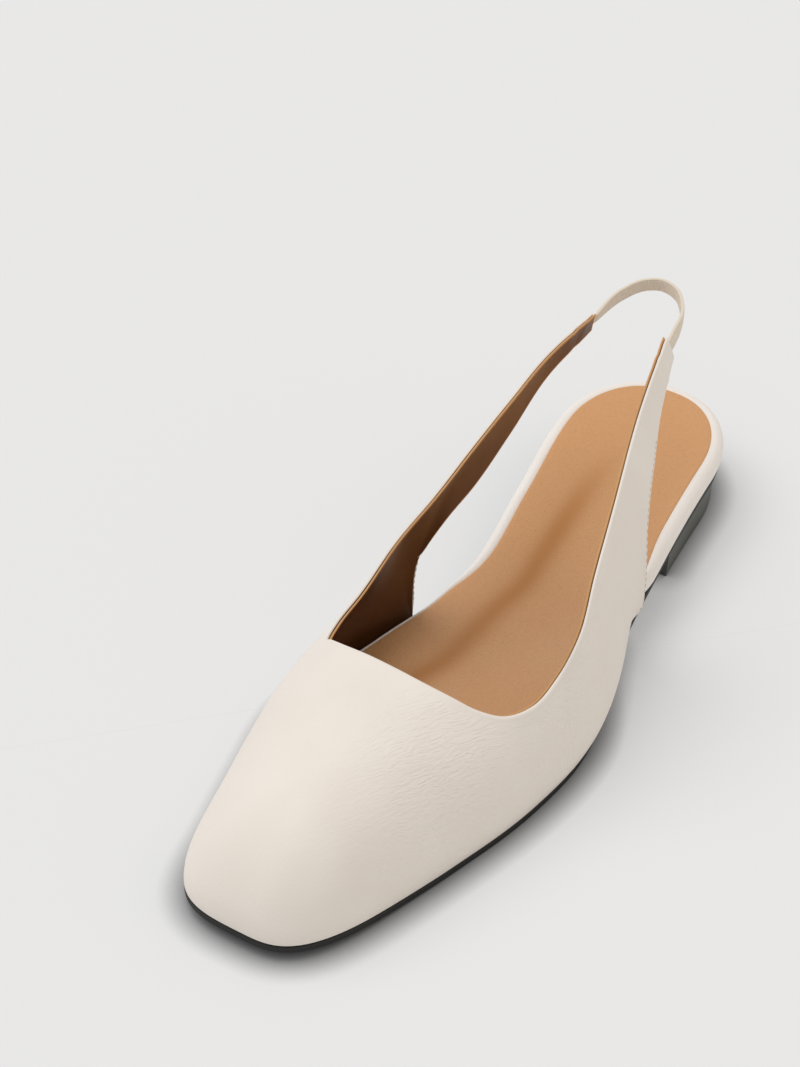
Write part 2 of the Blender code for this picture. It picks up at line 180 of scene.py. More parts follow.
meshing = {"mergeWithin": 2e-6, "sharpAngle": 50.0}   # metres and degrees


def gridFaces(rows, columns, start=0, flip=False, closed=False):
    # quads between neighbours of a grid whose rows follow each other, closed round its columns or not
    index = start + np.arange(rows * columns).reshape(rows, columns)
    if closed:
        index = np.concatenate([index, index[:, :1]], axis=1)
    corners = [index[:-1, :-1], index[:-1, 1:], index[1:, 1:], index[1:, :-1]]
    quads = np.stack(corners, axis=-1).reshape(-1, 4)
    return quads[:, ::-1] if flip else quads


def makePiece(name, points, faces, finish, slot, stands=(), fields=None):
    # one mesh from arrays; places that coincide are merged, which closes seams and poles
    mesh = bpy.data.meshes.new(name)
    mesh.from_pydata(placed(points), [], faces)
    for field, values in (fields or {}).items():
        column = mesh.attributes.new(field, "FLOAT", "POINT").data
        column.foreach_set("value", np.asarray(values, np.float32))
    bm = bmesh.new()
    bm.from_mesh(mesh)
    bmesh.ops.remove_doubles(bm, verts=bm.verts, dist=meshing["mergeWithin"])
    bmesh.ops.recalc_face_normals(bm, faces=bm.faces)
    bm.to_mesh(mesh)
    bm.free()
    mesh.shade_smooth()
    mesh.set_sharp_from_angle(angle=np.radians(meshing["sharpAngle"]))
    mesh.materials.append(finish)
    piece = bpy.data.objects.new(name, mesh)
    scene.collection.objects.link(piece)
    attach(piece, "root")
    if stands:
        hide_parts(*stands)
    print(name, len(mesh.vertices), "places,", len(mesh.polygons), "faces")
    return piece


def loopOf(stations, shift):
    # the sole's outline as one closed line: heel to toe outside, then back inside
    sides = [soleEdge(stations, side, shift(stations, side)) for side in (outer, inner)]
    return np.concatenate([sides[0], sides[1][-2:0:-1]])


def loopStations(stations):
    # the station of each place of the closed outline
    return np.concatenate([stations, stations[-2:0:-1]])


def loopSides(stations):
    # 1 on the outer side of the closed outline and -1 on the inner one
    return np.concatenate([np.ones(len(stations)), -np.ones(len(stations) - 2)])


def partners(loop):
    # the same line read the other way, so that each place meets the one across from it
    return np.concatenate([loop[:1], loop[:0:-1]])


def filledRings(loop, count, heightAt):
    # rings that close in on the middle line between both sides, each at the height of that place; at the
    # heel and at the toe they fan round the line's ends
    middle = (loop + partners(loop)) / 2
    middle[:, 1] = np.clip(middle[:, 1], last["fanRadius"], max(loop[:, 1]) - last["fanRadius"])
    share = (1 - np.arange(1, count + 1) / count)[:, None]
    plan = middle + (loop - middle) * share[..., None]
    return np.concatenate([plan, heightAt(plan, share)[..., None]], axis=-1)


def ringPiece(name, rings, finish, slot, **settings):
    # closed rings stacked into one skin, from the middle of the bottom out, up and in again
    grid = np.stack(rings)
    return makePiece(name, grid.reshape(-1, 3), gridFaces(*grid.shape[:2], closed=True), finish, slot,
                     **settings)


def raised(loop, height):
    # a line in plan with its heights
    return np.column_stack([loop, height])


# camera


camera = {
    "target": (-56.05, 38.54, 0.0),      # millimetres on the floor, at the middle of the view
    "turn": 31.39, "lift": 41.08, "roll": 0.71,
    "distance": 783.5,
    "lens": 83.65, "sensor": 36.0,
    "clip": (0.02, 30.0),                # metres
}


def addCamera():
    # looks back along (sin turn cos lift, -cos turn cos lift, sin lift), rolled about that line
    turn, lift, roll = np.radians([camera["turn"], camera["lift"], camera["roll"]])
    back = np.array([np.sin(turn) * np.cos(lift), -np.cos(turn) * np.cos(lift), np.sin(lift)])
    right = np.array([np.cos(turn), np.sin(turn), 0])
    up = np.cross(back, right)
    rolledRight = np.cos(roll) * right + np.sin(roll) * up
    rolledUp = -np.sin(roll) * right + np.cos(roll) * up
    lens = bpy.data.cameras.new("photoView")
    lens.lens = camera["lens"]
    lens.sensor_width = lens.sensor_height = camera["sensor"]
    lens.sensor_fit = "VERTICAL"
    lens.clip_start, lens.clip_end = camera["clip"]
    made = bpy.data.objects.new("photoView", lens)
    place = (np.array(camera["target"]) + back * camera["distance"]) * toMetres
    matrix = np.eye(4)
    matrix[:3] = np.stack([rolledRight, rolledUp, back, place], axis=1)
    made.matrix_world = Matrix(matrix.tolist())
    scene.collection.objects.link(made)
    scene.camera = made


addCamera()
print("camera set")

# shader helpers and shared effects


grainLook = {
    "detail": 4.0,
    "mottleScale": 45.0, "mottleDetail": 5.0,         # a broad noise over the grain
    "mottleSpan": (0.3, 0.7),                         # its values from the first colour to the second
}


def newMaterial(name, colour, roughness):
    # a Principled material with a plain colour and roughness
    material = bpy.data.materials.new(name)
    material.use_nodes = True
    shader = material.node_tree.nodes["Principled BSDF"]
    shader.inputs["Base Color"].default_value = (*colour, 1.0)
    shader.inputs["Roughness"].default_value = roughness
    return material, shader


def addNode(tree, kind, links=(), **values):
    # a node with its settings or input values, and links as (socket, source)
    node = tree.nodes.new(kind)
    for key, value in values.items():
        if key in node.bl_rna.properties:
            setattr(node, key, value)
        else:
            node.inputs[key.replace("_", " ")].default_value = value
    for socket, source in links:
        tree.links.new(source, node.inputs[socket])
    return node


def leatherGrain():
    # height is the distance to the nearest of small cells plus a noise of the same scale; mottle is a
    # broad noise
    group = bpy.data.node_groups.new("leatherGrain", "ShaderNodeTree")
    for name, kind, value in (("Place", "NodeSocketVector", None), ("Size", "NodeSocketFloat", 0.5)):
        socket = group.interface.new_socket(name=name, in_out="INPUT", socket_type=kind)
        if value is not None:
            socket.default_value = value
    group.interface.new_socket(name="Height", in_out="OUTPUT", socket_type="NodeSocketFloat")
    group.interface.new_socket(name="Mottle", in_out="OUTPUT", socket_type="NodeSocketFloat")
    given = group.nodes.new("NodeGroupInput")
    result = group.nodes.new("NodeGroupOutput")
    scaled = addNode(group, "ShaderNodeMath", [(1, given.outputs["Size"])], operation="DIVIDE")
    scaled.inputs[0].default_value = perMetre
    cells = addNode(group, "ShaderNodeTexVoronoi",
                    [("Vector", given.outputs["Place"]), ("Scale", scaled.outputs[0])], feature="SMOOTH_F1")
    fine = addNode(group, "ShaderNodeTexNoise",
                   [("Vector", given.outputs["Place"]), ("Scale", scaled.outputs[0])],
                   Detail=grainLook["detail"])
    broad = addNode(group, "ShaderNodeTexNoise", [("Vector", given.outputs["Place"])],
                    Scale=grainLook["mottleScale"], Detail=grainLook["mottleDetail"])
    both = addNode(group, "ShaderNodeMath", [(0, cells.outputs["Distance"]), (1, fine.outputs["Fac"])],
                   operation="ADD")
    group.links.new(both.outputs[0], result.inputs["Height"])
    group.links.new(broad.outputs["Fac"], result.inputs["Mottle"])
    return group


grain = leatherGrain()


def useGrain(tree, size):
    # the grain over the piece's own coordinates, with cells of this size in millimetres
    place = tree.nodes.new("ShaderNodeTexCoord")
    used = tree.nodes.new("ShaderNodeGroup")
    used.node_tree = grain
    used.inputs["Size"].default_value = size
    tree.links.new(place.outputs["Object"], used.inputs["Place"])
    return used


def bumpFrom(tree, height, strength, depth, over=None):
    # a normal bent by a height of this depth in metres, over another bent normal or the plain one
    links = [("Height", height)]
    if over is not None:
        links.append(("Normal", over))
    return addNode(tree, "ShaderNodeBump", links, Strength=strength, Distance=depth).outputs["Normal"]


plainLooks = {
    # colour, roughness, size of the grain in millimetres, and how far the mottle pushes the colour
    "soleRubber": ((0.007, 0.006, 0.005), 0.62, 0.8, 0.30),
    "heelStack": ((0.085, 0.088, 0.078), 0.50, 0.8, 0.12),
    "threadFinish": ((0.66, 0.58, 0.49), 0.60, 0.3, 0.06),
    "bump": 0.3, "bumpDepth": 0.0002,
}


def plainFinish(name):
    # base colour pushed up and down by the mottle, and a bump from the grain
    colour, roughness, size, spread = plainLooks[name]
    material, shader = newMaterial(name, colour, roughness)
    tree = material.node_tree
    used = useGrain(tree, size)
    ramp = addNode(tree, "ShaderNodeValToRGB", [("Fac", used.outputs["Mottle"])])
    ends = zip(ramp.color_ramp.elements, grainLook["mottleSpan"], (-spread, spread))
    for element, position, change in ends:
        element.position = position
        element.color = (*np.minimum(np.array(colour) * (1 + change), 1), 1)
    tree.links.new(ramp.outputs["Color"], shader.inputs["Base Color"])
    tree.links.new(bumpFrom(tree, used.outputs["Height"], plainLooks["bump"], plainLooks["bumpDepth"]),
                   shader.inputs["Normal"])
    return material


def mixColour(tree, share, first, second):
    # first where share is 0 and second where it is 1; each is a colour or another node's socket
    mix = addNode(tree, "ShaderNodeMix", data_type="RGBA")
    for socket, value in ((mix.inputs["Factor"], share), (mix.inputs[6], first), (mix.inputs[7], second)):
        if isinstance(value, tuple):
            socket.default_value = (*value, 1.0)
        else:
            tree.links.new(value, socket)
    return mix.outputs[2]


def spanOf(tree, source, low, high, fromZero=0.0, toOne=1.0):
    # a value brought from low..high to fromZero..toOne, smoothly, and held at both ends
    span = addNode(tree, "ShaderNodeMapRange", [("Value", source)], interpolation_type="SMOOTHSTEP")
    for socket, value in (("From Min", low), ("From Max", high), ("To Min", fromZero), ("To Max", toOne)):
        span.inputs[socket].default_value = value
    return span.outputs["Result"]


def fieldOf(tree, name):
    # a value stored at the mesh's places
    return addNode(tree, "ShaderNodeAttribute", attribute_name=name).outputs["Fac"]


creases = {
    "length": 4.2, "pitch": 0.62,                     # of a fold, in millimetres
    "depth": 0.00030, "wander": 0.003,                # metres
    "wanderScale": 110.0, "wanderDetail": 2.0, "detail": 1.5, "roughness": 0.45,
    # painted shade in the folds' hollows, a little darker: span of their height, share, and tint
    "paintedShadeSpan": (0.5, 0.3), "paintedShadeShare": 0.07, "paintedShadeTint": (0.72, 0.66, 0.60),
    # where the upper is creased: across and its reach, station and its reach, share
    "places": [(24.0, 17.0, 190.0, 26.0, 1.0), (38.0, 12.0, 152.0, 22.0, 0.8)],
    "everywhere": 0.14, "strength": 1.1, "edgeSpan": (0.8, 3.0),
}


def leatherCreases():
    # noise drawn out along one direction in plan and bent by a broad noise: fine wavy folds of the skin
    group = bpy.data.node_groups.new("leatherCreases", "ShaderNodeTree")
    for name, kind in (("Place", "NodeSocketVector"), ("Turn", "NodeSocketFloat")):
        group.interface.new_socket(name=name, in_out="INPUT", socket_type=kind)
    group.interface.new_socket(name="Height", in_out="OUTPUT", socket_type="NodeSocketFloat")
    given, result = group.nodes.new("NodeGroupInput"), group.nodes.new("NodeGroupOutput")
    bend = addNode(group, "ShaderNodeTexNoise", [("Vector", given.outputs["Place"])],
                   Scale=creases["wanderScale"], Detail=creases["wanderDetail"])
    centred = addNode(group, "ShaderNodeVectorMath", [(0, bend.outputs["Color"])], operation="SUBTRACT")
    centred.inputs[1].default_value = (0.5, 0.5, 0.5)
    pushed = addNode(group, "ShaderNodeVectorMath", [(0, centred.outputs[0])], operation="SCALE")
    pushed.inputs["Scale"].default_value = creases["wander"]
    moved = addNode(group, "ShaderNodeVectorMath", [(0, given.outputs["Place"]), (1, pushed.outputs[0])],
                    operation="ADD")
    turned = addNode(group, "ShaderNodeVectorRotate",
                     [("Vector", moved.outputs[0]), ("Angle", given.outputs["Turn"])], rotation_type="Z_AXIS")
    drawn = addNode(group, "ShaderNodeVectorMath", [(0, turned.outputs[0])], operation="MULTIPLY")
    narrow = perMetre / creases["pitch"]
    drawn.inputs[1].default_value = (perMetre / creases["length"], narrow, narrow)
    folds = addNode(group, "ShaderNodeTexNoise", [("Vector", drawn.outputs[0])], Scale=1.0,
                    Detail=creases["detail"], Roughness=creases["roughness"])
    group.links.new(folds.outputs["Fac"], result.inputs["Height"])
    return group


creaseGroup = leatherCreases()

hides = {
    # colour, its darker shade, the field that says where the folds are, and their turn in degrees
    "ivoryLeather": ((0.855, 0.785, 0.712), (0.835, 0.762, 0.685), "crease", 60.0),
    "rimLeather": ((0.90, 0.845, 0.785), (0.88, 0.82, 0.755), "gather", 0.0),
    "roughness": 0.45, "roughnessRange": (0.40, 0.53), "roughnessSpan": (0.3, 1.1),
    "grain": 0.45, "bump": 0.2, "bumpDepth": 0.0001,
}


def leatherFinish(name):
    # ivory hide: cloudy base, fine grain, and folds, with painted shade slightly darkening their hollows,
    # where the field says so
    colour, shade, field, turn = hides[name]
    material, shader = newMaterial(name, colour, hides["roughness"])
    tree = material.node_tree
    used = useGrain(tree, hides["grain"])
    height = used.outputs["Height"]
    tint = mixColour(tree, spanOf(tree, used.outputs["Mottle"], *grainLook["mottleSpan"]), shade, colour)
    place = tree.nodes.new("ShaderNodeTexCoord")
    folds = tree.nodes.new("ShaderNodeGroup")
    folds.node_tree = creaseGroup
    folds.inputs["Turn"].default_value = -np.radians(turn)
    tree.links.new(place.outputs["Object"], folds.inputs["Place"])
    mask = fieldOf(tree, field)
    risen = addNode(tree, "ShaderNodeMath", [(0, folds.outputs["Height"]), (1, mask)], operation="MULTIPLY")
    grained = bumpFrom(tree, height, hides["bump"], hides["bumpDepth"])
    tree.links.new(bumpFrom(tree, risen.outputs[0], 1.0, creases["depth"], grained), shader.inputs["Normal"])
    # painted shade: the folds' low places are darkened in the base colour
    deep = spanOf(tree, folds.outputs["Height"], *creases["paintedShadeSpan"])
    hollow = addNode(tree, "ShaderNodeMath", [(0, deep), (1, mask)], operation="MULTIPLY")
    creaseShade = addNode(tree, "ShaderNodeMath", [(0, hollow.outputs[0])], operation="MULTIPLY")
    creaseShade.inputs[1].default_value = creases["paintedShadeShare"]
    dark = tuple(np.array(colour) * creases["paintedShadeTint"])
    tree.links.new(mixColour(tree, creaseShade.outputs[0], tint, dark), shader.inputs["Base Color"])
    tree.links.new(spanOf(tree, height, *hides["roughnessSpan"], *hides["roughnessRange"]),
                   shader.inputs["Roughness"])
    return material


lining = {
    "colour": (0.10, 0.033, 0.008), "roughness": 0.36,
    "mottle": ((0.080, 0.027, 0.006), (0.128, 0.045, 0.012)),
    # colours near the edge, and the distances from it, in millimetres, over which they give way
    "cutEdge": (0.62, 0.33, 0.13), "cutSpan": (0.45, 0.75),
    # the orange line just below the cut edge is painted shade
    "edgeShade": (0.30, 0.10, 0.022), "edgeShadeSpan": (0.7, 1.15),
    "edgeRoughness": 0.7, "roughnessSpan": (0.4, 1.2),
    "grain": 0.5, "bump": 0.2, "bumpDepth": 0.0001,
}


def liningFinish():
    # dark brown kid with a pale tan cut edge, and below it an orange line of painted shade
    material, shader = newMaterial("liningLeather", lining["colour"], lining["roughness"])
    tree = material.node_tree
    used = useGrain(tree, lining["grain"])
    edge = fieldOf(tree, "edge")
    body = mixColour(tree, spanOf(tree, used.outputs["Mottle"], *grainLook["mottleSpan"]), *lining["mottle"])
    # painted shade: an orange line on the lining just below its cut edge
    below = mixColour(tree, spanOf(tree, edge, *lining["edgeShadeSpan"]), lining["edgeShade"], body)
    tree.links.new(mixColour(tree, spanOf(tree, edge, *lining["cutSpan"]), lining["cutEdge"], below),
                   shader.inputs["Base Color"])
    tree.links.new(bumpFrom(tree, used.outputs["Height"], lining["bump"], lining["bumpDepth"]),
                   shader.inputs["Normal"])
    tree.links.new(spanOf(tree, edge, *lining["roughnessSpan"], lining["edgeRoughness"], lining["roughness"]),
                   shader.inputs["Roughness"])
    return material


tanHide = {
    "colour": (0.60, 0.30, 0.125), "roughness": 0.46, "roughnessRange": (0.42, 0.54),
    "speckle": ((0.565, 0.275, 0.108), (0.67, 0.345, 0.148)), "speckleSpan": (0.45, 1.0),
    # hollow is the colour of the painted shade along the waist's hollow
    "hollow": (0.48, 0.185, 0.035),
    "grain": 0.4, "bump": 0.28, "bumpDepth": 0.00012,
}


def sockFinish():
    # tan hide with fine speckle, and painted shade: darker and more orange along the hollow that the light
    # runs across
    material, shader = newMaterial("sockLeather", tanHide["colour"], tanHide["roughness"])
    tree = material.node_tree
    used = useGrain(tree, tanHide["grain"])
    speckled = spanOf(tree, used.outputs["Height"], *tanHide["speckleSpan"])
    plain = mixColour(tree, speckled, *tanHide["speckle"])
    tree.links.new(mixColour(tree, fieldOf(tree, "paintedHollowShade"), plain, tanHide["hollow"]),
                   shader.inputs["Base Color"])
    tree.links.new(bumpFrom(tree, used.outputs["Height"], tanHide["bump"], tanHide["bumpDepth"]),
                   shader.inputs["Normal"])
    cloudy = spanOf(tree, used.outputs["Mottle"], *grainLook["mottleSpan"], *tanHide["roughnessRange"])
    tree.links.new(cloudy, shader.inputs["Roughness"])
    return material


knit = {
    "colour": (0.86, 0.77, 0.65), "roughness": 0.75,
    "threads": ((0.77, 0.67, 0.54), (0.93, 0.85, 0.74)),
    "ribScale": 560.0, "ribWander": 1.0, "loopScale": 520.0, "loopWander": 2.5,
    "bump": 0.7, "bumpDepth": 0.00018,
}


def knitFinish():
    # covered rubber threads: ribs along the tape, crossed by small stitches, from its own map in metres
    material, shader = newMaterial("elasticKnit", knit["colour"], knit["roughness"])
    tree = material.node_tree
    own = addNode(tree, "ShaderNodeUVMap", uv_map="tape").outputs["UV"]
    ribs = addNode(tree, "ShaderNodeTexWave", [("Vector", own)], bands_direction="Y",
                   Scale=knit["ribScale"], Distortion=knit["ribWander"])
    loops = addNode(tree, "ShaderNodeTexWave", [("Vector", own)], bands_direction="X",
                    Scale=knit["loopScale"], Distortion=knit["loopWander"])
    dots = addNode(tree, "ShaderNodeMath", [(0, ribs.outputs["Fac"]), (1, loops.outputs["Fac"])],
                   operation="MULTIPLY").outputs[0]
    tree.links.new(mixColour(tree, dots, *knit["threads"]), shader.inputs["Base Color"])
    tree.links.new(bumpFrom(tree, dots, knit["bump"], knit["bumpDepth"]), shader.inputs["Normal"])
    return material


ivoryLeather = leatherFinish("ivoryLeather")
rimLeather = leatherFinish("rimLeather")
liningLeather = liningFinish()
sockLeather = sockFinish()
soleRubber = plainFinish("soleRubber")
heelStack = plainFinish("heelStack")
elasticKnit = knitFinish()
threadFinish = plainFinish("threadFinish")
print("finishes mixed")

# the upper's strip, shared by the leather, the lining and the stitches


upper = {
    "leather": 0.85, "lining": 0.62, "wall": 1.6,     # thickness of both layers, and of the whole wall
    # the turned edge that stands a little proud: rise, distance from the edge, reach
    "foldRise": 0.22, "foldAt": 0.9, "foldReach": 0.75,
    "liningRise": 0.34, "liningReach": 1.3,           # the lining's cut edge shows past the leather
    "throatStation": 176.0, "throatMiddle": 6.0,
    "footRun": 1.0,                                   # from the free low edge's last place to the sole
    "swellReach": 18.0,                               # the wall's swell begins over this length
    # places along the top line, the free low edge, the feather edge, the marks and the strip
    "topPlaces": 1601, "freePlaces": 401, "featherPlaces": 500, "markPlaces": 1001, "stripPlaces": 250,
    "softenRounds": 1200,                             # passes that even out the marks
    "stripStart": [0, 0.006, 0.016, 0.034, 0.06, 0.1, 0.15],
    "nearEdge": [0, 0.03, 0.09, 0.18, 0.3, 0.5, 0.8, 1.2, 1.7, 2.3],   # places beside an edge
    "middleRows": 34, "coarseRows": 161,              # rows between them, and rows to measure a section
    # lower place, top station outside and inside, steps, turn of the section, share of a plain arc; a
    # lower place up to 1 is a share of the free low edge, and after that a station on the feather edge
    "rows": [(0.00, 31.0, 31.0, 12, 8.0, 1.0), (0.62, 100.0, 100.0, 7, 14.0, 1.0),
             (1.00, 120.0, 129.0, 12, 20.0, 1.0), (160.0, 160.0, 160.0, 9, 44.0, 0.75),
             (232.0, 175.0, 175.0, 10, 70.0, 0.0), (252.0, 176.0, 176.0, 0, 70.0, 0.0)],
    # across, station, height
    "topOuter": [(8.0, 31.0, 66.0), (17.5, 67.0, 63.2), (30.0, 106.0, 60.0), (36.0, 126.5, 54.5),
                 (39.7, 142.0, 44.5), (38.6, 151.5, 36.6), (37.0, 161.5, 33.8), (32.4, 169.2, 33.9)],
    "topInner": [(-18.0, 31.0, 65.0), (-21.3, 52.0, 62.0), (-20.4, 78.0, 61.0), (-19.6, 103.0, 59.0),
                 (-21.5, 119.5, 52.5), (-26.0, 132.5, 43.0), (-27.3, 150.0, 35.3), (-28.0, 160.5, 32.3),
                 (-26.4, 168.0, 32.4)],
    "lowOuter": [(11.0, 31.0, 59.5), (17.3, 51.0, 52.6), (24.0, 67.0, 49.6), (29.0, 79.0, 45.8),
                 (33.0, 87.5, 40.0), (35.2, 91.0, 33.0), (36.0, 92.2, 22.0), (35.9, 93.0, 16.0)],
    "lowInner": [(-19.0, 31.0, 58.6), (-22.3, 52.0, 53.0), (-20.8, 78.0, 48.0), (-20.0, 100.0, 43.6),
                 (-21.2, 115.0, 39.6), (-23.0, 122.5, 32.5), (-23.8, 125.0, 22.0), (-23.7, 125.4, 12.0)],
    # across, station of the straight-cut throat
    "throat": [(26.0, 173.3), (19.0, 175.2), (11.0, 176.0), (2.0, 175.7), (-8.0, 174.9), (-17.0, 173.4),
               (-22.5, 171.4)],
}


def domeReach(across, station):
    # distance from the vamp's ridge as a superellipse: 1 on the swollen outline
    outerHalf, innerHalf = halfWidths(station)
    swell = curveThrough(last["crown"], station)
    outerHalf, innerHalf = outerHalf + swell[..., 1], innerHalf + swell[..., 2]
    middle, half = (outerHalf - innerHalf) / 2, (outerHalf + innerHalf) / 2
    toe = (station - last["length"] + last["toeRound"]) / (last["toeRound"] + swell[..., 1])
    power = last["toePower"]
    return (np.abs((across - middle) / half) ** power + np.clip(toe, 0, None) ** power) ** (1 / power)


def domeRise(station, reach):
    # crown height times sqrt(1 - reach^p)
    crown = curveThrough(last["crown"], station)[..., 0]
    return crown * np.sqrt(np.clip(1 - reach ** last["domePower"], 0, 1))


def wallFoot(side):
    # the place where the free low edge reaches the sole
    station = (upper["lowOuter"] if side == outer else upper["lowInner"])[-1][1] + upper["footRun"]
    return np.array([outlineAt(station, side), station, featherAt(station)])


def topLine():
    # outer top edge, the throat laid on the vamp's dome, and the inner top edge
    throat = np.array(upper["throat"])
    rise = domeRise(throat[:, 1], domeReach(throat[:, 0], throat[:, 1]))
    lifted = np.column_stack([throat, featherAt(throat[:, 1]) + rise])
    return lineThrough(np.concatenate([upper["topOuter"], lifted, upper["topInner"][::-1]]),
                       upper["topPlaces"])


def softened(values, rounds):
    # a three-point mean, again and again, that keeps both ends
    for _ in range(rounds):
        values = np.concatenate([values[:1], (values[:-2] + 2 * values[1:-1] + values[2:]) / 4, values[-1:]])
    return values


def marksAlong(rows):
    # the running sum of the rows' steps
    return np.concatenate([[0], np.cumsum([row[3] for row in rows[:-1]])])


def halfStrip(side, topHalf, positions):
    # matching places of the low and the top edge at strip positions counted in the rows' steps
    free = np.concatenate([upper["lowOuter"] if side == outer else upper["lowInner"], [wallFoot(side)]])
    low = lineThrough(free, upper["freePlaces"])
    freeLength = lengthAlong(low)[-1]
    turn = np.linspace(0, np.pi / 2, upper["featherPlaces"])
    stations = low[-1, 1] + (last["length"] - low[-1, 1]) * np.sin(turn)
    feather = np.column_stack([outlineAt(stations, side), stations, featherAt(stations)])
    feather[-1, 0] = 0
    low = np.concatenate([low, feather[1:]])
    lowReach, topReach = lengthAlong(low), lengthAlong(topHalf)
    rows, marks = upper["rows"], marksAlong(upper["rows"])
    footReach = lowReach[upper["freePlaces"] - 1:]
    lowMarks = [row[0] * freeLength if row[0] <= 1 else np.interp(row[0], feather[:, 1], footReach)
                for row in rows]
    topStations = [row[1 if side == outer else 2] for row in rows[:-1]]
    topMarks = [topReach[np.argmin(np.abs(topHalf[:, 1] - station))] for station in topStations]
    topMarks = topMarks + [topReach[-1]]
    fine = np.linspace(0, marks[-1], upper["markPlaces"])
    columns = []
    for values in (lowMarks, topMarks, [row[4] for row in rows], [row[5] for row in rows]):
        even = softened(np.interp(fine, marks, values), upper["softenRounds"])
        columns.append(np.interp(positions, fine, even))
    lowAt, topAt, turns, arcs = columns
    lows, tops = placesAt(lowAt, lowReach, low), placesAt(topAt, topReach, topHalf)
    return lows, tops, turns, arcs, lowAt - freeLength


def upperStrip():
    # both halves joined at the toe: low places, top places, turn, arc share, and how far past the foot
    top = topLine()
    middle = int(np.argmin(np.hypot(top[:, 0] - upper["throatMiddle"], top[:, 1] - upper["throatStation"])))
    even = np.linspace(0.2, marksAlong(upper["rows"])[-1], upper["stripPlaces"])
    positions = np.concatenate([upper["stripStart"], even])
    halves = [halfStrip(side, line, positions)
              for side, line in ((outer, top[: middle + 1]), (inner, top[: middle - 1 : -1]))]
    return [np.concatenate([first, second[-2::-1]]) for first, second in zip(*halves)]


def upperFace(strip, share):
    # each section is a blend of a plain arc between its two edges and of a slice of the vamp's dome
    low, top, turn, arc, past = strip
    turn, arc = np.radians(turn)[:, None], arc[:, None]
    share = np.broadcast_to(share, (len(low), np.shape(share)[-1]))
    normals = outwardOf(low[:, :2])
    for foot in (np.argmax(past > 0), len(past) - 1 - np.argmax(past[::-1] > 0)):
        freeEdge = np.arange(len(past)) < foot if foot < len(past) / 2 else np.arange(len(past)) > foot
        normals[freeEdge] = normals[foot]
    swells = curveThrough(last["crown"], low[:, 1])[:, 1:]
    swell = np.where(low[:, 0] > 0, swells[:, 0], swells[:, 1]) * easeBetween(past, 0.0, upper["swellReach"])
    base = low[:, :2] + normals * swell[:, None]

    chord = np.linalg.norm(top - np.column_stack([base, low[:, 2]]), axis=1)[:, None]
    bulge = chord / 2 * np.tan(turn / 4) * 4 * share * (1 - share)
    facing = outwardOf((base + top[:, :2]) / 2)
    arcPlan = base[:, None] + (top[:, None, :2] - base[:, None]) * share[..., None]
    arcPlan = arcPlan + facing[:, None] * bulge[..., None]
    arcHeight = low[:, None, 2] + (top[:, None, 2] - low[:, None, 2]) * share

    eased = 1 - np.cos(share * np.pi / 2)
    domePlan = base[:, None] + (top[:, None, :2] - base[:, None]) * eased[..., None]
    reach = domeReach(domePlan[..., 0], domePlan[..., 1])
    reach = reach / (1 + (reach[:, :1] - 1) * (1 - eased))
    rise = domeRise(domePlan[..., 1], reach)
    fit = (top[:, 2] - featherAt(top[:, 1])) / np.maximum(rise[:, -1], 1.0)
    domeHeight = featherAt(domePlan[..., 1]) + rise * fit[:, None]

    plan = arcPlan * arc[..., None] + domePlan * (1 - arc[..., None])
    height = arcHeight * arc + domeHeight * (1 - arc)
    above = (height - low[:, None, 2]) / last["tuckHeight"]
    tuck = swell[:, None] * np.clip(1 - above, 0, 1) ** 2
    plan = plan - normals[:, None] * tuck[..., None]
    return np.concatenate([plan, height[..., None]], axis=-1)


def rowsByLength(strip, nearEdge):
    # shares of each section at given distances from both edges, with even rows between them
    coarse = np.linspace(0, 1, upper["coarseRows"])
    face = upperFace(strip, coarse)
    reach = lengthAlong(face, axis=1)
    length = reach[:, -1:]
    between = np.linspace(0, 1, upper["middleRows"] + 2)[1:-1]
    first, final = nearEdge[-1], length - nearEdge[-1]
    wanted = np.concatenate([np.broadcast_to(nearEdge, (len(face), len(nearEdge))),
                             first + (final - first) * between, length - nearEdge[::-1]], axis=1)
    offset = 2.0 * np.arange(len(face))[:, None]      # sets the sections apart in one long lookup
    share = np.interp((wanted / length + offset).ravel(), (reach / length + offset).ravel(),
                      np.broadcast_to(coarse, reach.shape).ravel())
    return share.reshape(wanted.shape), wanted, length - wanted


def faceNormals(face):
    # cross product of the two ways along the grid, pointing out of the shoe
    return unit(np.cross(np.gradient(face, axis=0), np.gradient(face, axis=1)))


def edgeDistance(face, fromLow, fromTop):
    # the smallest way to a free edge: low, top or the cut end of a strap
    along = lengthAlong(face)
    fromEnd = np.minimum(along, along[-1] - along)
    return np.minimum(np.minimum(fromLow, fromTop), fromEnd), fromEnd


strip = upperStrip()
nearEdge = np.array(upper["nearEdge"])
share, fromLow, fromTop = rowsByLength(strip, nearEdge)
face = upperFace(strip, share)

# the outer half is evened along its length, because the wall's swell begins there; its edges stay
evening = {"rounds": 160, "lowSpan": (0.5, 9.0), "topSpan": (0.5, 7.0), "acrossSpan": (0.0, 15.0)}
inside = (easeBetween(fromLow, *evening["lowSpan"]) * easeBetween(fromTop, *evening["topSpan"])
          * easeBetween(face[..., 0], *evening["acrossSpan"]))
face = face + (softened(face, evening["rounds"]) - face) * inside[..., None]
faceNormal = faceNormals(face)
toEdge, toEnd = edgeDistance(face, fromLow, fromTop)

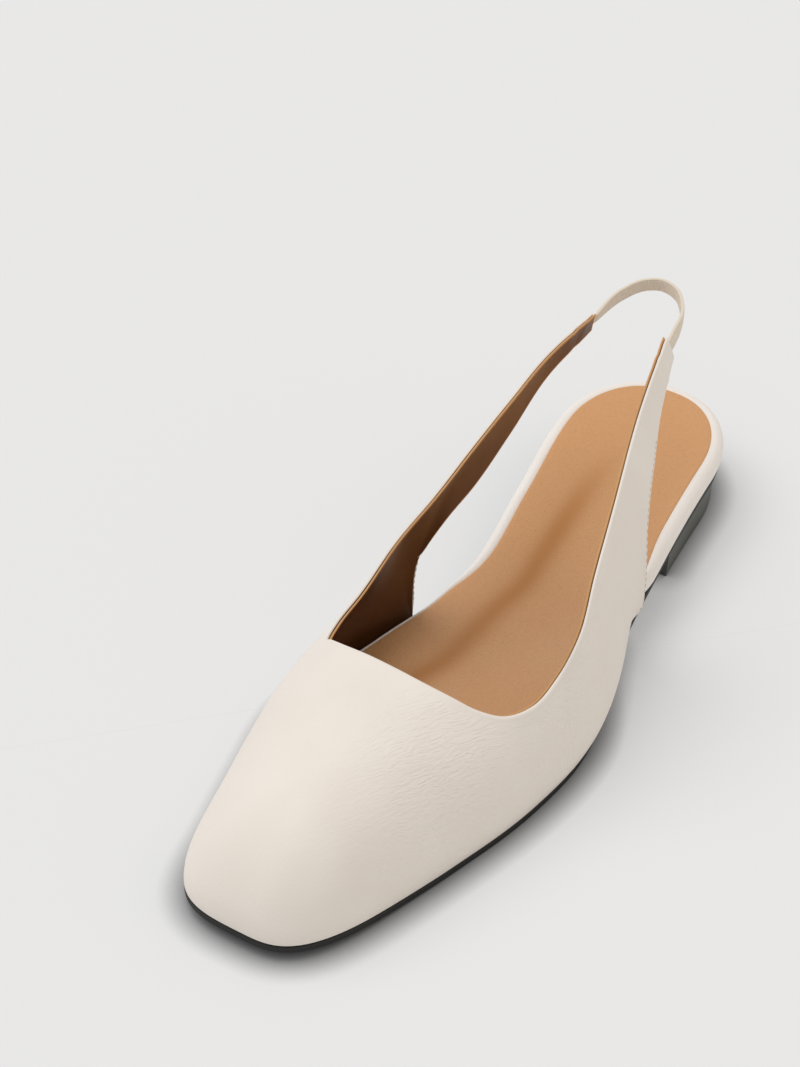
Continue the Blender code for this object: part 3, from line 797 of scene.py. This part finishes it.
# waves where the elastic draws a strap's end together: height, then length, start, slant and share of
# each wave, then where they are highest, how far they reach, and how soon they begin
pucker = {"height": 0.10, "waves": [(8.5, 0.9, 0.2, 1.0), (4.3, 0.0, 1.0, 0.5)],
          "centre": 7.0, "reach": 5.5, "begin": 4.0}
waves = sum(most * np.sin(toEnd * 2 * np.pi / length + start + slant * fromLow)
            for length, start, slant, most in pucker["waves"])
waves = pucker["height"] * waves * np.exp(-((toEnd - pucker["centre"]) / pucker["reach"]) ** 2)
face = face + faceNormal * (waves * easeBetween(toEnd, 0.0, pucker["begin"]))[..., None]
faceNormal = faceNormals(face)
print("strip", face.shape)


def addSkin(name, depth, thickness, rise, lift, finish, slot, stands, fields):
    # a sheet at this depth in the wall, thinned to nothing at its edge along a half circle; rise moves it
    # outwards and lift moves it up along the wall
    half = thickness / 2
    thin = half * np.sqrt(np.clip(1 - (1 - np.clip(toEdge / half, 0, 1)) ** 2, 0, 1))
    middle = face + faceNormal * (rise - depth - half)[..., None]
    middle += unit(np.gradient(face, axis=1)) * lift[..., None]
    sides = [middle + faceNormal * thin[..., None], middle - faceNormal * thin[..., None]]
    rows, columns = face.shape[:2]
    points = np.concatenate([side.reshape(-1, 3) for side in sides])
    faces = np.concatenate([gridFaces(rows, columns), gridFaces(rows, columns, rows * columns, flip=True)])
    doubled = {key: np.concatenate([value.ravel(), value.ravel()]) for key, value in fields.items()}
    return makePiece(name, points, faces, finish, slot, stands=stands, fields=doubled)


def addUpper():
    # leather on the outside of the wall, creased by a bell curve round each place; lining on its inside
    fold = upper["foldRise"] * np.exp(-((fromTop - upper["foldAt"]) / upper["foldReach"]) ** 2)
    level = 0 * fold
    spots = [most * np.exp(-((face[..., 0] - across) / wide) ** 2 - ((face[..., 1] - station) / long) ** 2)
             for across, wide, station, long, most in creases["places"]]
    crease = np.clip(creases["everywhere"] + creases["strength"] * np.maximum(*spots), 0, 1)
    addSkin("upperLeather", level, upper["leather"], fold, level, ivoryLeather, "upper_leather", ["upper"],
            {"crease": crease * easeBetween(toEdge, *creases["edgeSpan"])})
    lift = upper["liningRise"] * np.exp(-(fromTop / upper["liningReach"]) ** 2)
    addSkin("upperLining", level + upper["wall"] - upper["lining"], upper["lining"], level, lift,
            liningLeather, "sock_leather", [], {"edge": toEdge})


addUpper()

# footbed, sock, outsole and heel


footbed = {
    "overhang": 0.7, "clearance": 0.15,               # past the sole's outline, and inside the wall
    "rimHeight": 6.4, "rimWidth": 5.2, "rimFrontWidth": 1.7, "rimFrontDrop": 1.4, "rimLip": 1.3,
    "dish": 1.1, "dishFullWidth": 20.0,
    # over what lengths, from the wall's foot, the rim moves in, sinks and narrows
    "wallSpan": (-16.0, -1.0), "dropSpan": (14.0, 46.0), "bandSpan": (-32.0, 1.0),
    "gather": 0.35,                                   # share of the leather's folds
    "underRings": 6, "rimRings": 22, "faceRings": 10,
    # outward shift and rise from under its edge up and over
    "rim": [(-1.6, 0.0), (-0.3, 0.9), (0.0, 2.6), (-0.35, 4.4), (-1.3, 5.7), (-2.6, 6.4), (-3.9, 6.2)],
}


def underWall(station, side, span):
    # 0 where the rim shows beside the foot, 1 where the wall stands over it, over one of the spans
    return easeBetween(station - wallFoot(side)[1], *footbed[span])


def footbedShift(station, side):
    # past the sole's outline behind the wall, and clear inside the wall in front
    inside = upper["wall"] + footbed["clearance"]
    return footbed["overhang"] - (footbed["overhang"] + inside) * underWall(station, side, "wallSpan")


def rimDrop(station, side):
    # the rim sinks towards the toe
    return footbed["rimFrontDrop"] * underWall(station, side, "dropSpan")


def seatHeight(station, share):
    # the footbed's face inside its rim: share is 1 at the outer edge and -1 at the inner one
    drop = rimDrop(station, outer) * (1 + share) / 2 + rimDrop(station, inner) * (1 - share) / 2
    narrow = np.clip(outlineAt(station, outer) / footbed["dishFullWidth"], 0, 1)
    dish = footbed["dish"] * (1 - share ** 2) * narrow
    return featherAt(station) + footbed["rimHeight"] - footbed["rimLip"] - drop - dish


def bandShare(station, side):
    # width of the rim's band as a share of its full width: it narrows on its way under the wall
    return 1 - (1 - footbed["rimFrontWidth"] / footbed["rimWidth"]) * underWall(station, side, "bandSpan")


def sockShift(station, side):
    # the inner edge of the rim's band
    return footbedShift(station, side) - footbed["rimWidth"] * bandShare(station, side)


def bySide(stations, values):
    # one value for each place of the closed outline, from a function of station and side
    return np.concatenate([values(stations, outer), values(stations, inner)[-2:0:-1]])


def rimLoop(stations, shift):
    # the footbed's outline moved by a place of the rim's profile, which narrows with the band
    return loopOf(stations, lambda s, side: footbedShift(s, side) + shift * bandShare(s, side))


def addFootbed():
    # a flat underside, the rim's profile carried round, and the dished face inside it
    stations = stationsTo(last["length"], last["steps"])
    around, sides = loopStations(stations), loopSides(stations)
    rim = lineThrough(footbed["rim"], footbed["rimRings"])
    rings = list(filledRings(rimLoop(stations, rim[0, 0]), footbed["underRings"],
                             lambda plan, share: featherAt(plan[..., 1]))[::-1])
    squeeze = bySide(stations, lambda s, side: 1 - rimDrop(s, side) / footbed["rimHeight"])
    for shift, rise in rim:
        rings.append(raised(rimLoop(stations, shift), featherAt(around) + rise * squeeze))
    seatLoop = loopOf(stations, sockShift)
    rings.append(raised(seatLoop, seatHeight(around, sides)))
    rings.extend(filledRings(seatLoop, footbed["faceRings"],
                             lambda plan, share: seatHeight(plan[..., 1], sides * share)))
    gather = np.full(len(rings) * len(around), footbed["gather"])
    ringPiece("footbedWrap", rings, rimLeather, "rim_leather", stands=["footbed"], fields={"gather": gather})


sock = {
    "thickness": 1.0, "edgeRound": 0.5,
    "tuckIn": 1.15,                        # how far its edge runs out under the shoulder of the rim
    "underRings": 6, "edgeRings": 7, "faceRings": 24,
    # the painted shade along the waist's hollow: its width, its share, and the stations over which it comes
    # in
    "hollowWidth": 4.0, "hollowShade": 0.85, "paintedShadeSpan": (30.0, 80.0),
    # station, across of the line where the waist's hollow turns into the forefoot
    "hollow": [(20, -2.0), (60, -2.0), (90, 0.0), (101, 0.5), (114, -2.1), (126, -3.8), (137, -5.6),
               (145, -8.7), (165, -18.0), (252, -18.0)],
}


def sockLoop(stations, shift):
    # the rim's inner edge, moved out by the tuck and by this shift
    return loopOf(stations, lambda s, side: sockShift(s, side) + sock["tuckIn"] * bandShare(s, side) + shift)


def addSock():
    # a sheet on the footbed's face with its upper edge rounded; the painted shade along the waist's hollow is
    # a bell curve round the hollow's line
    stations = stationsTo(last["length"], last["steps"])
    around, sides = loopStations(stations), loopSides(stations)
    base = lambda plan, share: seatHeight(plan[..., 1], sides * share) + last["seamGap"]
    rings = list(filledRings(sockLoop(stations, 0.0), sock["underRings"], base)[::-1])
    shoulder = seatHeight(around, sides) + last["seamGap"] + sock["thickness"] - sock["edgeRound"]
    for turn in np.linspace(0, np.pi / 2, sock["edgeRings"]):
        edge = sockLoop(stations, -sock["edgeRound"] * (1 - np.cos(turn)))
        rings.append(raised(edge, shoulder + sock["edgeRound"] * np.sin(turn)))
    rings.extend(filledRings(sockLoop(stations, -sock["edgeRound"]), sock["faceRings"],
                             lambda plan, share: base(plan, share) + sock["thickness"]))
    plan = np.stack(rings)[..., :2]
    line = curveThrough(sock["hollow"], plan[..., 1])[..., 0]
    away = np.abs(plan[..., 0] - line) / sock["hollowWidth"]
    paintedHollowShade = sock["hollowShade"] * np.exp(-away ** 2) * easeBetween(plan[..., 1], *sock["paintedShadeSpan"])
    ringPiece("sockLining", rings, sockLeather, "sock_leather", stands=["sock"],
              fields={"paintedHollowShade": paintedHollowShade.ravel()})


outsole = {"lowRound": 0.6, "topRound": 0.3, "lowRings": 6, "topRings": 5, "faceRings": 8}


def evenLoop(stations, shift):
    # the sole's outline moved by the same shift all round
    return loopOf(stations, lambda s, side: 0 * s + shift)


def addOutsole():
    # its underside, a quarter round at the tread and a smaller one at the top, and its flat top
    stations = stationsTo(last["length"], last["steps"])
    under = undersideAt(loopStations(stations))
    low, high = outsole["lowRound"], outsole["topRound"]
    rings = list(filledRings(evenLoop(stations, -low), outsole["faceRings"],
                             lambda plan, share: undersideAt(plan[..., 1]))[::-1])
    for turn in np.linspace(0, np.pi / 2, outsole["lowRings"]):
        rings.append(raised(evenLoop(stations, -low * (1 - np.sin(turn))), under + low * (1 - np.cos(turn))))
    shoulder = under + (last["outsole"] - high)
    for turn in np.linspace(0, np.pi / 2, outsole["topRings"]):
        rings.append(raised(evenLoop(stations, -high * (1 - np.cos(turn))), shoulder + high * np.sin(turn)))
    rings.extend(filledRings(evenLoop(stations, -high), outsole["faceRings"],
                             lambda plan, share: undersideAt(plan[..., 1]) + last["outsole"]))
    ringPiece("outsoleEdge", rings, soleRubber, "outsole_rubber", stands=["outsole"])


heel = {
    "breast": 60.0, "centre": 32.0,                   # stations of its straight front and of its middle
    "inset": 1.2, "taper": 0.4, "taperHeight": 12.0,  # it stands back from the outsole, more at the floor
    "bevel": 0.5, "gap": 0.02,
    # depth and height of the line where its top piece begins
    "groove": [(0.0, 2.25), (0.22, 2.4), (0.22, 2.6), (0.0, 2.75)],
    "wallFrom": 0.4, "wallRings": 4,                  # the wall above it, as shares of the whole height
    "sidePlaces": 91, "breastPlaces": 31, "bevelRings": 6, "faceRings": 7,
}


def heelLoop(shift):
    # the round back of the outline, closed by a straight breast
    stations = stationsTo(heel["breast"], heel["sidePlaces"])
    sides = []
    for side in (outer, inner):
        points = soleEdge(stations, side, 0 * stations + shift)
        points[-1, 1] = heel["breast"]
        sides.append(points)
    breast = np.linspace(sides[0][-1], sides[1][-1], heel["breastPlaces"])[1:-1]
    return np.concatenate([sides[0], breast, sides[1][:0:-1]])


def addHeel():
    # a flat foot, a small round edge, the groove, and a wall up to the outsole
    rings = []
    centre = np.array([0.0, heel["centre"]])
    foot = heelLoop(-heel["inset"] - heel["taper"] - heel["bevel"])
    for share in np.linspace(0, 1, heel["faceRings"])[:-1]:
        rings.append(raised(centre + (foot - centre) * share, 0 * foot[:, 0]))
    for turn in np.linspace(0, np.pi / 2, heel["bevelRings"]):
        loop = heelLoop(-heel["inset"] - heel["taper"] - heel["bevel"] * (1 - np.sin(turn)))
        rings.append(raised(loop, 0 * loop[:, 0] + heel["bevel"] * (1 - np.cos(turn))))
    for depth, height in heel["groove"]:
        loop = heelLoop(-heel["inset"] - heel["taper"] * (1 - height / heel["taperHeight"]) - depth)
        rings.append(raised(loop, 0 * loop[:, 0] + height))
    for rise in np.linspace(heel["wallFrom"], 1, heel["wallRings"]):
        loop = heelLoop(-heel["inset"] - heel["taper"] * (1 - rise))
        rings.append(raised(loop, (undersideAt(loop[:, 1]) - heel["gap"]) * rise))
    top = heelLoop(-heel["inset"])
    for share in np.linspace(1, 0, heel["faceRings"])[1:]:
        loop = centre + (top - centre) * share
        rings.append(raised(loop, undersideAt(loop[:, 1]) - heel["gap"]))
    ringPiece("heelBlock", rings, heelStack, "heel_block", stands=["heel"])


addFootbed()
addSock()
addOutsole()
addHeel()

# elastic round the back of the heel


elastic = {
    "width": 4.4, "thickness": 1.2, "insideThickness": 0.25, "runIn": 5.0, "leanOver": 14.0,
    "endWidth": 0.72, "outerAt": 0.40, "innerAt": 0.56,        # shares of its width and of the strap's
    "underLeather": 0.06, "strapRows": 40,            # how deep it lies in a strap, and its sections there
    "insideStops": [1, 0.75, 0.5, 0.25, 0.05],        # its places in a strap, as shares of runIn
    "thicknessSpan": (-0.5, 3.0), "widthSpan": (-1.0, 10.0),   # where it grows, from the strap's end
    "sidePower": 0.35, "edgePower": 0.5,              # powers that square off its section
    "places": 301, "sectionPlaces": 48,
    "line": [(-14.5, 17.6, 65.2), (-10.3, 12.3, 67.0), (-5.0, 9.8, 67.6), (0.8, 11.2, 67.3),
             (5.4, 16.2, 66.2)],
}


def insideStrap(side, distances):
    # places in a strap, between its leather and its lining, at distances from its cut end
    order, normals = (face, faceNormal) if side == outer else (face[::-1], faceNormal[::-1])
    middle = int(face.shape[1] * elastic["outerAt" if side == outer else "innerAt"])
    rows = slice(elastic["strapRows"])
    inWall = order[rows, middle] - normals[rows, middle] * (upper["leather"] + elastic["underLeather"])
    return placesAt(distances, lengthAlong(inWall), inWall)


def addElastic():
    # a flat section standing on edge, (|cos|^side, |sin|^edge) with their signs, carried along its middle
    # line; it leans with the straps at both ends and thins where it runs in
    runIn, leanOver = elastic["runIn"], elastic["leanOver"]
    inside = runIn * np.array(elastic["insideStops"])
    points = np.concatenate([insideStrap(inner, inside), elastic["line"], insideStrap(outer, inside[::-1])])
    line = lineThrough(points, elastic["places"])
    reach = lengthAlong(line)
    fromEnd = np.minimum(reach, reach[-1] - reach)
    least, endWidth = elastic["insideThickness"], elastic["endWidth"]
    thick = least + (elastic["thickness"] - least) * easeBetween(fromEnd - runIn, *elastic["thicknessSpan"])
    wide = endWidth + (1 - endWidth) * easeBetween(fromEnd - runIn, *elastic["widthSpan"])
    wide = elastic["width"] * wide

    ahead = unit(np.gradient(line, axis=0))
    level = np.array([0.0, 0.0, 1.0])
    atStart, atEnd = [unit(face[end, -1] - face[end, 0]) for end in (-1, 0)]
    fromStart = easeBetween(reach, runIn, runIn + leanOver)[:, None]
    toFinish = easeBetween(reach[-1] - reach, runIn, runIn + leanOver)[:, None]
    up = level + (atStart - level) * (1 - fromStart) + (atEnd - level) * (1 - toFinish)
    up = unit(up - ahead * (up * ahead).sum(axis=1)[:, None])
    across = np.cross(ahead, up)

    turn = np.linspace(0, 2 * np.pi, elastic["sectionPlaces"] + 1)[:-1]
    sideways = np.sign(np.cos(turn)) * np.abs(np.cos(turn)) ** elastic["sidePower"] / 2
    upwards = np.sign(np.sin(turn)) * np.abs(np.sin(turn)) ** elastic["edgePower"] / 2
    grid = (line[:, None] + across[:, None] * (thick[:, None] * sideways)[..., None]
            + up[:, None] * (wide[:, None] * upwards)[..., None])
    caps = [np.broadcast_to(grid[end].mean(axis=0), grid[end].shape)[None] for end in (0, -1)]
    grid = np.concatenate([caps[0], grid, caps[1]])
    lengthways = np.concatenate([reach[:1], reach, reach[-1:]])
    lengthways = np.broadcast_to(lengthways[:, None], grid.shape[:2]) * toMetres
    sidelong = np.broadcast_to(elastic["width"] * upwards * toMetres, grid.shape[:2])
    fields = {"lengthways": lengthways.ravel(), "sidelong": sidelong.ravel()}
    faces = gridFaces(*grid.shape[:2], closed=True)
    piece = makePiece("slingElastic", grid.reshape(-1, 3), faces, elasticKnit, "elastic",
                      stands=["sling_elastic"], fields=fields)

    # the tape's own map, from both fields
    mesh = piece.data
    corners = np.empty(len(mesh.loops), np.int32)
    mesh.loops.foreach_get("vertex_index", corners)
    values = np.empty((2, len(mesh.vertices)), np.float32)
    for row, field in zip(values, fields):
        mesh.attributes[field].data.foreach_get("value", row)
    tape = mesh.uv_layers.new(name="tape")
    tape.data.foreach_set("uv", np.ascontiguousarray(values[:, corners].T).ravel())


addElastic()

# stitches along the lower edge of both straps


stitch = {
    "pitch": 2.2, "length": 1.35, "width": 0.34, "flatten": 2 / 3, "taper": 0.6,
    "fromEdge": 1.2, "firstAt": 34.0, "lastBefore": 1.0, "rise": 0.06,
    "lookAhead": 0.5,                                 # the way each one points is taken over this length
    "rings": 7, "around": 8,
}


def addStitches(name, side):
    # one small bean, (cos a, sin^taper a cos b, sin^taper a sin b), set at even lengths near the low edge
    half = face.shape[0] // 2
    sections = slice(0, half) if side == outer else slice(face.shape[0] - 1, half, -1)
    row = int(np.argmin(np.abs(nearEdge - stitch["fromEdge"])))
    free = strip[4][sections] < -stitch["lastBefore"]
    line, normals = face[sections][free, row], faceNormal[sections][free, row]
    reach = lengthAlong(line)
    at = np.arange(stitch["firstAt"], reach[-1] - stitch["lastBefore"], stitch["pitch"])
    place = placesAt(at, reach, line)
    ahead = unit(placesAt(at + stitch["lookAhead"], reach, line) - place)
    out = unit(placesAt(at, reach, normals))
    sideways = np.cross(out, ahead)
    lengthways = np.linspace(0, np.pi, stitch["rings"])[:, None]
    about = np.linspace(0, 2 * np.pi, stitch["around"] + 1)[:-1]
    girth = np.sin(lengthways) ** stitch["taper"] / 2
    bean = np.stack(np.broadcast_arrays(
        np.cos(lengthways) * stitch["length"] / 2,
        girth * np.cos(about) * stitch["width"],
        girth * np.sin(about) * stitch["width"] * stitch["flatten"] + stitch["rise"]), axis=-1)
    frames = np.stack([ahead, sideways, out], axis=1)
    points = place[:, None, None] + np.einsum("abk,nkc->nabc", bean, frames)
    count, rows, ringSize = points.shape[:3]
    one = gridFaces(rows, ringSize, closed=True)
    faces = (one + np.arange(count)[:, None, None] * rows * ringSize).reshape(-1, 4)
    makePiece(name, points.reshape(-1, 3), faces, threadFinish, "upper_leather")


addStitches("outerStitches", outer)
addStitches("innerStitches", inner)

# floor and light


light = {
    "world": 0.50, "floorHalf": 25.0, "floorRoughness": 0.9, "contactSamples": 16,
    # where the light comes from, how wide it is in degrees, and its strength
    "keySun": ((-0.58, -0.10, 1.08), 55.0, 1.50),
    "fillSun": ((0.95, 0.42, 0.62), 60.0, 0.40),
    "fillTint": (1.0, 0.86, 0.70),
    # the floor's own light keeps its wide shadows pale, and it darkens close under the sole
    "floor": 0.55, "floorGlow": 0.26, "contactReach": 0.009, "contactDepth": 1.6,
}


def addSun(name):
    # parallel light with a soft edge, so the floor is as bright far off as beside the shoe
    place, angle, strength = light[name]
    lamp = bpy.data.lights.new(name, "SUN")
    lamp.angle, lamp.energy = np.radians(angle), strength
    sun = bpy.data.objects.new(name, lamp)
    sun.location = place
    sun.rotation_euler = sun.location.normalized().to_track_quat("Z", "Y").to_euler()
    scene.collection.objects.link(sun)
    return sun


def addStudio():
    # a large pale floor, white light from all round, and two suns; the floor's colour and its own light
    # are multiplied by the open share of the near surroundings, raised to contactDepth
    floorMesh = bpy.data.meshes.new("paleFloor")
    far = light["floorHalf"]
    corners = [(-far, -far, 0), (far, -far, 0), (far, far, 0), (-far, far, 0)]
    floorMesh.from_pydata(corners, [], [(0, 1, 2, 3)])
    level, black, white = (light["floor"],) * 3, (0.0, 0.0, 0.0), (1.0, 1.0, 1.0)
    floorFinish, shader = newMaterial("paleFloor", level, light["floorRoughness"])
    tree = floorFinish.node_tree
    near = addNode(tree, "ShaderNodeAmbientOcclusion", samples=light["contactSamples"],
                   Distance=light["contactReach"])
    depth = addNode(tree, "ShaderNodeMath", [(0, near.outputs["AO"])], operation="POWER")
    depth.inputs[1].default_value = light["contactDepth"]
    tree.links.new(mixColour(tree, depth.outputs[0], black, level), shader.inputs["Base Color"])
    tree.links.new(mixColour(tree, depth.outputs[0], black, white), shader.inputs["Emission Color"])
    shader.inputs["Emission Strength"].default_value = light["floorGlow"]
    floorMesh.materials.append(floorFinish)
    floor = bpy.data.objects.new("paleFloor", floorMesh)
    scene.collection.objects.link(floor)
    world = bpy.data.worlds.new("softBox")
    world.use_nodes = True
    world.node_tree.nodes["Background"].inputs["Color"].default_value = (1, 1, 1, 1)
    world.node_tree.nodes["Background"].inputs["Strength"].default_value = light["world"]
    scene.world = world
    addSun("keySun")
    addSun("fillSun").data.color = light["fillTint"]
    scene.view_settings.view_transform = "Standard"


addStudio()
print("studio set")
